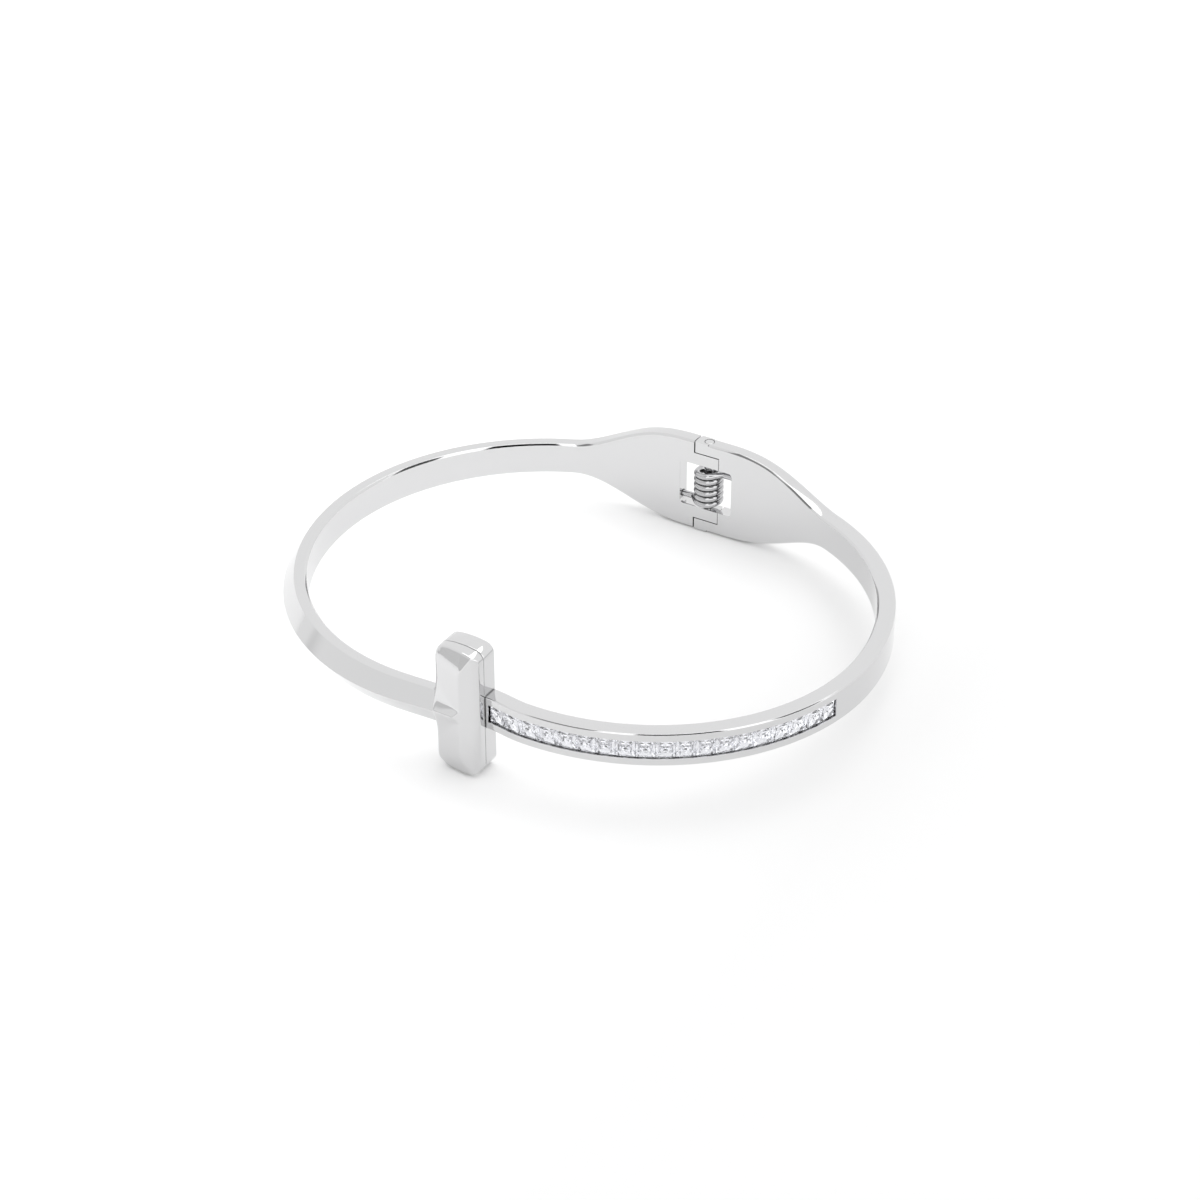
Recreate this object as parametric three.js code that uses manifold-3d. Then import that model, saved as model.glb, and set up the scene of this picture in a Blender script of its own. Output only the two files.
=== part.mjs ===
// Hinged bangle bracelet: two curved arms on a sprung hinge at the back, which
// meet at the front in a crossbar of two overlapping plates. The left arm has a
// knife edge, and the right arm carries a channel of square stones.
// Millimetres, +Z up. The bangle lies flat: +Y points to the hinge, -Y to the
// crossbar, and the hinge pin stands along Z.

import * as THREE from 'three';
import { mergeVertices } from 'three/addons/utils/BufferGeometryUtils.js';
import Module from 'manifold-3d';

const wasm = await Module();
wasm.setup();

// ---------- Driving dimensions ----------

// Inner outline of the closed bangle, measured from the hinge pin's X = 0.
const BACK_Y = 23.55; // inner face of the straight back, under the hinge plates
const BACK_STRAIGHT = 5.9; // half length of the straight back
const RIGHT = { reach: 29.1, front: 21.75, frontStraight: 6.4, barFront: 21.3 };
const LEFT = { reach: 29.3, front: 23.4, frontStraight: 7.2, barFront: 23.25 };

// Band sections.
const BAND_HALF_HEIGHT = 1.78;
const INNER_BEVEL = 0.22; // flat bevel along both inner edges
const RIGHT_THICKNESS = 1.82;
const RIGHT_OUTER_BEVEL = 0.18;
const LEFT_SIDE = 1.25; // width of the left arm's flat side faces
const LEFT_RIDGE = 2.42; // inner face to knife edge
const LEFT_RIDGE_AT_BAR = 2.2;

// Hinge plates: the leaf-shaped back end of each arm.
const PLATE_THICKNESS = 1.5;
const PLATE_HALF_HEIGHT = 5.35;
const PLATE_FLAT = 2; // distance from the pin at full height
const PLATE_LENGTH = 15.5; // distance from the pin where the plate has become the band
const PLATE_CURVE = 1.3; // above 1, the leaf stays full for longer near the pin
const THICKNESS_BLEND = [7, 15.5];

// Hinge knuckles: the right arm has the two outer ones, the left arm the two tongues.
const PIN_Y = BACK_Y + PLATE_THICKNESS / 2;
const PIN_RADIUS = 0.5;
const BORE_RADIUS = 0.55;
const KNUCKLE_RADIUS = 1.35; // knuckle ends are rounded about the pin axis on their outer half
const TONGUE_RADIUS = 1.5;
const NOSE_ROOT = 0.2; // how far a rounded end reaches back into its own plate
const LEFT_SHOULDER_X = -1.45; // face that the knuckles turn in front of
const RIGHT_SHOULDER_X = 1.55; // face that the tongues turn in front of
const WINDOW_HALF_HEIGHT = 2.6;
const WINDOW_CORNER = 0.4;
const TONGUE_TOP = 3.95;
const KNUCKLE_BOTTOM = 4.05;
const WINDOW_LEFT_X = -3.1;
const WINDOW_RIGHT_X = 3.1;

// Torsion spring on the pin.
const WIRE_RADIUS = 0.33;
const COIL_RADIUS = 1.26; // pin axis to wire centre
const COIL_TURNS = 5;
const COIL_PITCH = 0.72;
const LEG_BEND_X = 1.8; // where a leg bends in line with its hole
const LEG_HOLE_RADIUS = 0.4;
const LEG_DEPTH = 0.8; // length of leg inside each plate
const LEG_END_CLEARANCE = 0.1;

// Crossbar: the back plate closes the right arm, the front plate the left arm.
const BAR_LEFT_X = -2.65;
const BAR_RIGHT_X = 2.15;
const BAR_HALF_HEIGHT = 7;
const BAR_END_CROWN = 0.3; // how much lower each end is at its corners than in its middle
const BAR_FLAT = [-1.2, 0.3]; // flat middle of each end
const BAR_CROWN_RADIUS = 4;
const BAR_CORNER_RADIUS = 1;
const FRONT_LEFT_EDGE = 1.25; // front plate's thickness along its left edge
const FRONT_RIGHT_EDGE = 0.75;
const FRONT_RIGHT_BEVEL = 0.42;
const FRONT_LEFT_RADIUS = 0.6;
const FRONT_RIDGE = 1.9; // front plate's thickness at its ridge
const FRONT_RIDGE_RADIUS = 0.2;
const RIDGE_X = 0.5;
const RIDGE_HALF_LENGTH = 5.2;
const JOIN_GAP = 0.03; // soldered seams between an arm and its bar plate

// Stones and the channel they sit in.
const STONE_COUNT = 19;
const STONE_WIDTH = 1.8;
const STONE_PITCH = 1.905;
const STONE_TABLE = 1.1;
const CROWN_HEIGHT = 0.28;
const GIRDLE_HEIGHT = 0.12;
const PAVILION_DEPTH = 0.6;
const TABLE_RECESS = 0.04;
const CHANNEL_HALF_WIDTH = 0.98;
const CHANNEL_DEPTH = 1.12;
const CHANNEL_MARGIN = 0.08;
const FIRST_STONE_GAP = 0.3; // from the bar plate to the channel's first end

// Fineness of the faceted surfaces.
const ARM_STEP = 0.9;
const ROUND_SIDES = 24;
const ARC_SEGMENTS = 6;
const WIRE_SIDES = 8;
const SPRING_STEPS = 150;
const BIG = 40; // larger than any piece that is cut

// ---------- Materials ----------

const polishedSteel = new THREE.MeshStandardMaterial({ color: 0xd4d6d8, roughness: 0.06, metalness: 1 });
const springSteel = new THREE.MeshStandardMaterial({ color: 0xa9acb0, roughness: 0.2, metalness: 1 });
const clearStone = new THREE.MeshStandardMaterial({ color: 0xf2f5f8, roughness: 0.02, metalness: 0 });

// ---------- Solids ----------

function solidOf(geometry) {
  const bare = geometry.clone();
  bare.deleteAttribute('normal');
  bare.deleteAttribute('uv');
  const merged = mergeVertices(bare, 1e-5);
  return new wasm.Manifold(new wasm.Mesh({
    numProp: 3,
    vertProperties: Float32Array.from(merged.attributes.position.array),
    triVerts: Uint32Array.from(merged.index.array),
  }));
}

function geometryOf(solid) {
  const mesh = solid.getMesh();
  const geometry = new THREE.BufferGeometry();
  geometry.setAttribute('position', new THREE.BufferAttribute(mesh.vertProperties, 3));
  geometry.setIndex(new THREE.BufferAttribute(mesh.triVerts, 1));
  return geometry;
}

function boxSolid(low, high) {
  const size = high.map((value, i) => value - low[i]);
  const geometry = new THREE.BoxGeometry(...size);
  geometry.translate(...low.map((value, i) => value + size[i] / 2));
  return solidOf(geometry);
}

function uprightCylinder(radius, lowZ, highZ) {
  const geometry = new THREE.CylinderGeometry(radius, radius, highZ - lowZ, ROUND_SIDES);
  geometry.rotateX(Math.PI / 2);
  geometry.translate(0, PIN_Y, (lowZ + highZ) / 2);
  return geometry;
}

// A closed outline from [x, y, radius] corners, anticlockwise, each turned into an arc.
// Where the first corner is sharp, the second is sharp too.
function roundedShape(corners) {
  const shape = new THREE.Shape();
  corners.forEach(([x, y, radius], i) => {
    const [beforeX, beforeY] = corners.at(i - 1);
    const [afterX, afterY] = corners[(i + 1) % corners.length];
    const arrive = new THREE.Vector2(x - beforeX, y - beforeY).normalize();
    const leave = new THREE.Vector2(afterX - x, afterY - y).normalize();
    if (radius === 0 && i === 0) shape.moveTo(x, y);
    else if (radius === 0) shape.lineTo(x, y);
    else {
      const run = radius * Math.tan(Math.acos(arrive.dot(leave)) / 2);
      const centreX = x - run * arrive.x - radius * arrive.y;
      const centreY = y - run * arrive.y + radius * arrive.x;
      const from = Math.atan2(-arrive.x, arrive.y);
      const to = Math.atan2(-leave.x, leave.y);
      shape.absarc(centreX, centreY, radius, from, to, false);
    }
  });
  return shape;
}

// A shape drawn in X and Z, as a prism from outerY to innerY.
function frontalPrism(shape, outerY, innerY) {
  const geometry = new THREE.ExtrudeGeometry(shape, {
    depth: innerY - outerY,
    bevelEnabled: false,
    curveSegments: ARC_SEGMENTS,
  });
  geometry.rotateX(Math.PI / 2);
  geometry.translate(0, innerY, 0);
  return solidOf(geometry);
}

// A shape drawn in X and Y, as a prism from lowZ to highZ.
function uprightPrism(shape, lowZ, highZ) {
  const geometry = new THREE.ExtrudeGeometry(shape, {
    depth: highZ - lowZ,
    bevelEnabled: false,
    curveSegments: ARC_SEGMENTS,
  });
  geometry.translate(0, 0, lowZ);
  return solidOf(geometry);
}

// Everything on the outer side of a plane, which starts at a point and faces along normal.
function halfSpace(point, normal) {
  const direction = new THREE.Vector3(...normal).normalize();
  const geometry = new THREE.BoxGeometry(BIG, BIG, BIG);
  geometry.applyQuaternion(new THREE.Quaternion().setFromUnitVectors(new THREE.Vector3(0, 0, 1), direction));
  geometry.translate(...direction.multiplyScalar(BIG / 2).add(new THREE.Vector3(...point)).toArray());
  return solidOf(geometry);
}

// ---------- Arm outline ----------

// One arm's line in plan, from the hinge to the crossbar, for an arm on the +X side.
// offset moves it outwards from the inner face.
function armLine(arm, endX, offset = 0) {
  const back = BACK_Y + offset;
  const front = arm.front + offset;
  const barFront = arm.barFront + offset;
  const reach = arm.reach + offset;
  const halfway = (arm.frontStraight - Math.max(endX, BAR_RIGHT_X)) / 2;
  const turnX = arm.frontStraight - 2 * halfway;
  const line = new THREE.Path();
  line.moveTo(0, back);
  line.lineTo(BACK_STRAIGHT, back);
  line.absellipse(BACK_STRAIGHT, 0, reach - BACK_STRAIGHT, back, Math.PI / 2, 0, true);
  line.absellipse(arm.frontStraight, 0, reach - arm.frontStraight, front, 0, -Math.PI / 2, true);
  line.bezierCurveTo(arm.frontStraight - halfway, -front, turnX + halfway, -barFront, turnX, -barFront);
  if (endX < turnX) line.lineTo(endX, -barFront);
  return line;
}

// Place and outward direction at a distance along an arm's line; side is 1 on the right, -1 on the left.
function stationAt(line, distance, side) {
  const along = Math.min(distance / line.getLength(), 1);
  const point = line.getPointAt(along);
  const tangent = line.getTangentAt(along);
  return {
    distance,
    point: new THREE.Vector2(side * point.x, point.y),
    outward: new THREE.Vector2(-side * tangent.y, tangent.x),
  };
}

// A closed skin through one section for each station. sectionAt gives points as
// [distance outwards, height], anticlockwise.
function loft(line, from, to, side, sectionAt) {
  const count = Math.ceil((to - from) / ARM_STEP);
  const positions = [];
  const faces = [];
  let ring = 0;
  for (let i = 0; i <= count; i++) {
    const station = stationAt(line, from + ((to - from) * i) / count, side);
    const section = sectionAt(station.distance);
    if (side < 0) section.reverse();
    ring = section.length;
    for (const [out, height] of section) {
      const x = station.point.x + out * station.outward.x;
      const y = station.point.y + out * station.outward.y;
      positions.push(x, y, height);
    }
  }
  for (let i = 0; i < count; i++) {
    for (let j = 0; j < ring; j++) {
      const a = i * ring + j;
      const b = i * ring + ((j + 1) % ring);
      faces.push(a, b, b + ring, a, b + ring, a + ring);
    }
  }
  const last = count * ring;
  for (let j = 1; j < ring - 1; j++) {
    faces.push(0, j + 1, j);
    faces.push(last, last + j, last + j + 1);
  }
  const geometry = new THREE.BufferGeometry();
  geometry.setAttribute('position', new THREE.Float32BufferAttribute(positions, 3));
  geometry.setIndex(faces);
  return solidOf(geometry);
}

// Half height of the leaf-shaped plate, which runs down to the band in an S curve.
function halfHeightAt(distance) {
  const along = THREE.MathUtils.clamp((distance - PLATE_FLAT) / (PLATE_LENGTH - PLATE_FLAT), 0, 1);
  const leaf = (1 + Math.cos(Math.PI * along ** PLATE_CURVE)) / 2;
  return BAND_HALF_HEIGHT + (PLATE_HALF_HEIGHT - BAND_HALF_HEIGHT) * leaf;
}

function plateToBand(plateValue, bandValue, distance) {
  const blend = THREE.MathUtils.smoothstep(distance, ...THICKNESS_BLEND);
  return THREE.MathUtils.lerp(plateValue, bandValue, blend);
}

// ---------- Hinge ----------

// The end of a knuckle, towards direction (1 is +X): flat on the wrist half, round on the outer half.
function nose(direction, radius, lowZ, highZ) {
  const half = PLATE_THICKNESS / 2;
  const angle = Math.asin(half / radius);
  const shape = new THREE.Shape();
  if (direction > 0) {
    shape.moveTo(-NOSE_ROOT, -half);
    shape.lineTo(radius, -half);
    shape.absarc(0, 0, radius, 0, angle, false);
    shape.lineTo(-NOSE_ROOT, half);
  } else {
    shape.moveTo(NOSE_ROOT, -half);
    shape.lineTo(NOSE_ROOT, half);
    shape.absarc(0, 0, radius, Math.PI - angle, Math.PI, false);
    shape.lineTo(-radius, -half);
  }
  return uprightPrism(shape, lowZ, highZ).translate([0, PIN_Y, 0]);
}

// Opening for the spring in one arm, from its end wall past the pin.
function springWindow(wallX) {
  const h = WINDOW_HALF_HEIGHT;
  const corners = wallX < 0
    ? [[wallX, -h, WINDOW_CORNER], [BIG, -h, 0], [BIG, h, 0], [wallX, h, WINDOW_CORNER]]
    : [[-BIG, h, 0], [-BIG, -h, 0], [wallX, -h, WINDOW_CORNER], [wallX, h, WINDOW_CORNER]];
  return frontalPrism(roundedShape(corners), 0, BIG);
}

const pinBore = solidOf(uprightCylinder(BORE_RADIUS, -BIG / 2, BIG / 2));

// Blind hole in a window's end wall, for a spring leg.
function legHole(wallX, height) {
  const direction = Math.sign(wallX);
  const length = LEG_DEPTH + LEG_END_CLEARANCE;
  const geometry = new THREE.CylinderGeometry(LEG_HOLE_RADIUS, LEG_HOLE_RADIUS, 2 * length, ROUND_SIDES);
  geometry.rotateZ(Math.PI / 2);
  geometry.translate(wallX, PIN_Y, height);
  const through = solidOf(geometry);
  return direction < 0
    ? through.subtract(boxSolid([wallX + 0.2, 0, -BIG], [BIG, BIG, BIG]))
    : through.subtract(boxSolid([-BIG, 0, -BIG], [wallX - 0.2, BIG, BIG]));
}

const coilHeight = COIL_TURNS * COIL_PITCH;
const LEFT_LEG_Z = -coilHeight / 2;
const RIGHT_LEG_Z = coilHeight / 2;

// ---------- Crossbar ----------

// Outline of the crossbar: rounded corners and slightly crowned ends.
function barPlate(innerY, outerY, grow = 0) {
  const left = BAR_LEFT_X - grow;
  const right = BAR_RIGHT_X + grow;
  const half = BAR_HALF_HEIGHT + grow;
  const shoulder = half - BAR_END_CROWN;
  const [flatLeft, flatRight] = BAR_FLAT;
  const shape = roundedShape([
    [left, -shoulder, BAR_CORNER_RADIUS],
    [flatLeft, -half, BAR_CROWN_RADIUS],
    [flatRight, -half, BAR_CROWN_RADIUS],
    [right, -shoulder, BAR_CORNER_RADIUS],
    [right, shoulder, BAR_CORNER_RADIUS],
    [flatRight, half, BAR_CROWN_RADIUS],
    [flatLeft, half, BAR_CROWN_RADIUS],
    [left, shoulder, BAR_CORNER_RADIUS],
  ]);
  return frontalPrism(shape, outerY, innerY);
}

const frontInnerY = -LEFT.barFront;
const frontRidge = [RIDGE_X, frontInnerY - FRONT_RIDGE, 0];
const frontBevelX = BAR_RIGHT_X - FRONT_RIGHT_BEVEL;
const frontBevelEdge = FRONT_RIGHT_EDGE + FRONT_RIGHT_BEVEL;
const frontRightSlope = (FRONT_RIDGE - frontBevelEdge) / (frontBevelX - RIDGE_X);

// The front plate: a low roof with an off-centre ridge and a sloping hip at each end.
function frontPlate(grow = 0) {
  const innerY = frontInnerY + grow;
  const outerY = (thickness) => frontInnerY - thickness - grow;
  const section = roundedShape([
    [BAR_RIGHT_X + grow, innerY, 0],
    [BAR_LEFT_X - grow, innerY, 0],
    [BAR_LEFT_X - grow, outerY(FRONT_LEFT_EDGE), FRONT_LEFT_RADIUS],
    [RIDGE_X, outerY(FRONT_RIDGE), FRONT_RIDGE_RADIUS],
    [frontBevelX, outerY(frontBevelEdge), FRONT_RIDGE_RADIUS],
    [BAR_RIGHT_X + grow, outerY(FRONT_RIGHT_EDGE), 0],
  ]);
  const hipSlope = (FRONT_RIDGE - FRONT_LEFT_EDGE) / (BAR_HALF_HEIGHT - RIDGE_HALF_LENGTH);
  const ridgeY = outerY(FRONT_RIDGE);
  return barPlate(innerY, ridgeY, grow)
    .intersect(uprightPrism(section, -BIG, BIG))
    .subtract(halfSpace([RIDGE_X, ridgeY, RIDGE_HALF_LENGTH], [0, -1, hipSlope]))
    .subtract(halfSpace([RIDGE_X, ridgeY, -RIDGE_HALF_LENGTH], [0, -1, -hipSlope]));
}

function backPlate() {
  return barPlate(-RIGHT.barFront, -RIGHT.barFront - RIGHT_THICKNESS);
}

// ---------- Arms ----------

function leftSection(distance, length) {
  const half = halfHeightAt(distance);
  const side = plateToBand(PLATE_THICKNESS, LEFT_SIDE, distance);
  const nearBar = THREE.MathUtils.smoothstep(distance, length - 9, length - 3);
  const bandRidge = THREE.MathUtils.lerp(LEFT_RIDGE, LEFT_RIDGE_AT_BAR, nearBar);
  const ridge = plateToBand(PLATE_THICKNESS, bandRidge, distance);
  return [
    [INNER_BEVEL, -half],
    [side, -half],
    [ridge, 0],
    [side, half],
    [INNER_BEVEL, half],
    [0, half - INNER_BEVEL],
    [0, INNER_BEVEL - half],
  ];
}

function rightSection(distance) {
  const half = halfHeightAt(distance);
  const thickness = plateToBand(PLATE_THICKNESS, RIGHT_THICKNESS, distance);
  return [
    [INNER_BEVEL, -half],
    [thickness - RIGHT_OUTER_BEVEL, -half],
    [thickness, RIGHT_OUTER_BEVEL - half],
    [thickness, half - RIGHT_OUTER_BEVEL],
    [thickness - RIGHT_OUTER_BEVEL, half],
    [INNER_BEVEL, half],
    [0, half - INNER_BEVEL],
    [0, INNER_BEVEL - half],
  ];
}

function leftArm() {
  const line = armLine(LEFT, -RIDGE_X);
  const length = line.getLength();
  return loft(line, 0, length, -1, (distance) => leftSection(distance, length))
    .subtract(boxSolid([LEFT_SHOULDER_X, 0, TONGUE_TOP], [BIG, BIG, BIG]))
    .subtract(boxSolid([LEFT_SHOULDER_X, 0, -BIG], [BIG, BIG, -TONGUE_TOP]))
    .subtract(springWindow(WINDOW_LEFT_X))
    .add(nose(1, TONGUE_RADIUS, WINDOW_HALF_HEIGHT, TONGUE_TOP))
    .add(nose(1, TONGUE_RADIUS, -TONGUE_TOP, -WINDOW_HALF_HEIGHT))
    .subtract(pinBore)
    .subtract(legHole(WINDOW_LEFT_X, LEFT_LEG_Z))
    .subtract(frontPlate(JOIN_GAP))
    .subtract(halfSpace(frontRidge, [frontRightSlope, -1, 0]));
}

const stoneLine = armLine(RIGHT, BAR_RIGHT_X, RIGHT_THICKNESS);
const channelEnd = stoneLine.getLength() - FIRST_STONE_GAP;
const channelStart = channelEnd - STONE_COUNT * STONE_PITCH - 2 * CHANNEL_MARGIN;

function channel() {
  return loft(stoneLine, channelStart, channelEnd, 1, () => [
    [-CHANNEL_DEPTH, -CHANNEL_HALF_WIDTH],
    [1, -CHANNEL_HALF_WIDTH],
    [1, CHANNEL_HALF_WIDTH],
    [-CHANNEL_DEPTH, CHANNEL_HALF_WIDTH],
  ]);
}

function rightArm() {
  const line = armLine(RIGHT, BAR_RIGHT_X);
  return loft(line, 0, line.getLength() - JOIN_GAP, 1, rightSection)
    .subtract(boxSolid([-BIG, 0, -KNUCKLE_BOTTOM], [RIGHT_SHOULDER_X, BIG, KNUCKLE_BOTTOM]))
    .subtract(springWindow(WINDOW_RIGHT_X))
    .add(nose(-1, KNUCKLE_RADIUS, KNUCKLE_BOTTOM, PLATE_HALF_HEIGHT))
    .add(nose(-1, KNUCKLE_RADIUS, -PLATE_HALF_HEIGHT, -KNUCKLE_BOTTOM))
    .subtract(pinBore)
    .subtract(legHole(WINDOW_RIGHT_X, RIGHT_LEG_Z))
    .subtract(channel());
}

// ---------- Spring and stones ----------

// Wire centre line: left leg, coil and right leg, as one curve about the pin axis.
class SpringWire extends THREE.Curve {
  constructor() {
    super();
    this.tangentAngle = Math.acos(COIL_RADIUS / LEG_BEND_X);
    this.leftLeg = [
      new THREE.Vector3(WINDOW_LEFT_X - LEG_DEPTH, 0, LEFT_LEG_Z),
      new THREE.Vector3(-LEG_BEND_X, 0, LEFT_LEG_Z),
    ];
    this.rightLeg = [
      new THREE.Vector3(LEG_BEND_X, 0, RIGHT_LEG_Z),
      new THREE.Vector3(WINDOW_RIGHT_X + LEG_DEPTH, 0, RIGHT_LEG_Z),
    ];
    this.route = new THREE.CurvePath();
    const coil = this.coilPoints();
    this.addStraight(this.leftLeg[0], this.leftLeg[1]);
    this.addStraight(this.leftLeg[1], coil[0]);
    for (let i = 1; i < coil.length; i++) this.addStraight(coil[i - 1], coil[i]);
    this.addStraight(coil[coil.length - 1], this.rightLeg[0]);
    this.addStraight(this.rightLeg[0], this.rightLeg[1]);
  }

  addStraight(from, to) {
    this.route.add(new THREE.LineCurve3(from, to));
  }

  // The coil leaves the left leg on the wrist side and meets the right leg on the outer side.
  coilPoints() {
    const start = Math.PI + this.tangentAngle;
    const turn = 2 * Math.PI * COIL_TURNS - Math.PI - 2 * this.tangentAngle + 2 * Math.PI;
    const count = Math.round((turn / (2 * Math.PI)) * ROUND_SIDES);
    const points = [];
    for (let i = 0; i <= count; i++) {
      const angle = start + (turn * i) / count;
      const height = LEFT_LEG_Z + (RIGHT_LEG_Z - LEFT_LEG_Z) * (i / count);
      points.push(new THREE.Vector3(COIL_RADIUS * Math.cos(angle), COIL_RADIUS * Math.sin(angle), height));
    }
    return points;
  }

  getPoint(t, target = new THREE.Vector3()) {
    return target.copy(this.route.getPoint(t));
  }
}

function springGeometry() {
  const section = new THREE.Shape();
  for (let i = 0; i < WIRE_SIDES; i++) {
    const angle = (2 * Math.PI * i) / WIRE_SIDES;
    const x = WIRE_RADIUS * Math.cos(angle);
    const y = WIRE_RADIUS * Math.sin(angle);
    if (i === 0) section.moveTo(x, y);
    else section.lineTo(x, y);
  }
  return new THREE.ExtrudeGeometry(section, {
    steps: SPRING_STEPS,
    bevelEnabled: false,
    extrudePath: new SpringWire(),
  });
}

// A square-cut stone with its table facing +Y.
function stoneGeometry() {
  const corner = STONE_WIDTH / Math.SQRT2;
  const profile = [
    new THREE.Vector2(0, -PAVILION_DEPTH),
    new THREE.Vector2(corner, 0),
    new THREE.Vector2(corner, GIRDLE_HEIGHT),
    new THREE.Vector2(STONE_TABLE / Math.SQRT2, GIRDLE_HEIGHT + CROWN_HEIGHT),
    new THREE.Vector2(0, GIRDLE_HEIGHT + CROWN_HEIGHT),
  ];
  return new THREE.LatheGeometry(profile, 4, Math.PI / 4, 2 * Math.PI);
}

// ---------- Assembly ----------

const bangle = new THREE.Group();

function addPiece(name, geometry, material) {
  const mesh = new THREE.Mesh(geometry, material);
  mesh.name = name;
  bangle.add(mesh);
  return mesh;
}

addPiece('left_arm', geometryOf(leftArm()), polishedSteel);
addPiece('front_bar_plate', geometryOf(frontPlate()), polishedSteel);
addPiece('right_arm', geometryOf(rightArm()), polishedSteel);
addPiece('back_bar_plate', geometryOf(backPlate()), polishedSteel);
addPiece('hinge_pin', uprightCylinder(PIN_RADIUS, -PLATE_HALF_HEIGHT, PLATE_HALF_HEIGHT), polishedSteel);
addPiece('torsion_spring', springGeometry(), springSteel).position.y = PIN_Y;

const stoneHeight = GIRDLE_HEIGHT + CROWN_HEIGHT + TABLE_RECESS;
for (let i = 0; i < STONE_COUNT; i++) {
  const distance = channelEnd - CHANNEL_MARGIN - (i + 0.5) * STONE_PITCH;
  const { point, outward } = stationAt(stoneLine, distance, 1);
  const stone = addPiece(`stone_${String(i + 1).padStart(2, '0')}`, stoneGeometry(), clearStone);
  stone.position.set(point.x - stoneHeight * outward.x, point.y - stoneHeight * outward.y, 0);
  stone.rotation.z = Math.atan2(outward.y, outward.x) - Math.PI / 2;
}

// The origin is the middle of the closed bangle's bounding box.
const middle = new THREE.Box3().setFromObject(bangle).getCenter(new THREE.Vector3());
bangle.position.sub(middle);

export default bangle;
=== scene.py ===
# Looks for the hinged bangle bracelet: fine metal surfaces, cut stones, the sprung
# hinge, a pale studio and the camera. Sizes are in millimetres until mesh_piece()
# puts them in the frame's metres.
import math

import bmesh
import bpy
import numpy as np
from mathutils import Matrix, Vector


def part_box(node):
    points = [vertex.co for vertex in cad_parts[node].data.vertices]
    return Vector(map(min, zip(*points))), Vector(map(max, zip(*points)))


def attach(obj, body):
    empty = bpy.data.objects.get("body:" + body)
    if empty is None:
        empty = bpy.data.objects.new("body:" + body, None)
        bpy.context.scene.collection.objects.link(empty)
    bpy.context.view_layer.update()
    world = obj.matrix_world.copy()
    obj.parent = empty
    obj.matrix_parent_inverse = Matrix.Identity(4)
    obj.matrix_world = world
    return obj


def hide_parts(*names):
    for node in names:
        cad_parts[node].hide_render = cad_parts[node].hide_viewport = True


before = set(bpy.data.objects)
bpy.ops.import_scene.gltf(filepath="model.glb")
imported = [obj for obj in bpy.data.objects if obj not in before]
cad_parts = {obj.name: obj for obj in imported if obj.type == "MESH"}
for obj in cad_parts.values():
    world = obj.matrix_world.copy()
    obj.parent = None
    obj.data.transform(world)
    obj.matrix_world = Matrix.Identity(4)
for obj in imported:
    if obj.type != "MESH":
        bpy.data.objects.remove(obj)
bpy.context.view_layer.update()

MM = 0.001

# ---------- Sizes that are the same as in the CAD model, in mm ----------

# Inner outline of the closed bangle, from the hinge pin's x = 0.
BACK_Y = 23.55
BACK_STRAIGHT = 5.9
RIGHT = {"reach": 29.1, "front": 21.75, "front_straight": 6.4, "bar_front": 21.3}
LEFT = {"reach": 29.3, "front": 23.4, "front_straight": 7.2, "bar_front": 23.25}

# Band sections.
BAND_HALF_HEIGHT = 1.78
RIGHT_THICKNESS = 1.82
LEFT_SIDE = 1.25
LEFT_RIDGE = 2.42
LEFT_RIDGE_AT_BAR = 2.2

# Hinge plates, knuckles and the window for the spring.
PLATE_THICKNESS = 1.5
PLATE_HALF_HEIGHT = 5.35
PLATE_FLAT = 2.0
PLATE_LENGTH = 15.5
PLATE_CURVE = 1.3
THICKNESS_BLEND = (7.0, 15.5)

PIN_Y = BACK_Y + PLATE_THICKNESS / 2
PIN_RADIUS = 0.5
BORE_RADIUS = 0.55
KNUCKLE_RADIUS = 1.35
TONGUE_RADIUS = 1.5
NOSE_ROOT = 0.2
LEFT_SHOULDER_X = -1.45
RIGHT_SHOULDER_X = 1.55
WINDOW_HALF_HEIGHT = 2.6
WINDOW_CORNER = 0.4
TONGUE_TOP = 3.95
KNUCKLE_BOTTOM = 4.05
WINDOW_LEFT_X = -3.1
WINDOW_RIGHT_X = 3.1

# Spring.
COIL_RADIUS = 1.26
COIL_TURNS = 5
COIL_PITCH = 0.72
COIL_HEIGHT = COIL_TURNS * COIL_PITCH
LEG_BEND_X = 1.8
LEG_DEPTH = 0.8
LEG_HOLE_RADIUS = 0.4

# Crossbar.
BAR_LEFT_X = -2.65
BAR_RIGHT_X = 2.15
BAR_HALF_HEIGHT = 7.0
BAR_END_CROWN = 0.3
BAR_FLAT = (-1.2, 0.3)
BAR_CROWN_RADIUS = 4
BAR_CORNER_RADIUS = 1.0
FRONT_LEFT_EDGE = 1.25
FRONT_RIGHT_EDGE = 0.75
FRONT_RIGHT_BEVEL = 0.42
FRONT_RIDGE = 1.9
RIDGE_X = 0.5
BEVEL_X = BAR_RIGHT_X - FRONT_RIGHT_BEVEL
FRONT_RIGHT_SLOPE = (FRONT_RIDGE - FRONT_RIGHT_EDGE - FRONT_RIGHT_BEVEL) / (BEVEL_X - RIDGE_X)

# Stones and their channel.
STONE_COUNT = 19
STONE_PITCH = 1.905
CHANNEL_HALF_WIDTH = 0.98
CHANNEL_DEPTH = 1.12
CHANNEL_MARGIN = 0.08
FIRST_STONE_GAP = 0.3
TABLE_RECESS = 0.04

# ---------- Sizes that differ a little from the CAD model, in mm ----------

INNER_BEVEL = 0.2
OUTER_BEVEL = 0.1
WIRE_RADIUS = 0.34
STONE_WIDTH = 1.84
RIDGE_HALF_LENGTH = 4.95

# ---------- Sizes that only this model has, in mm ----------

# How far a cutting tool runs past the piece that it cuts.
FAR = 40.0

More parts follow.
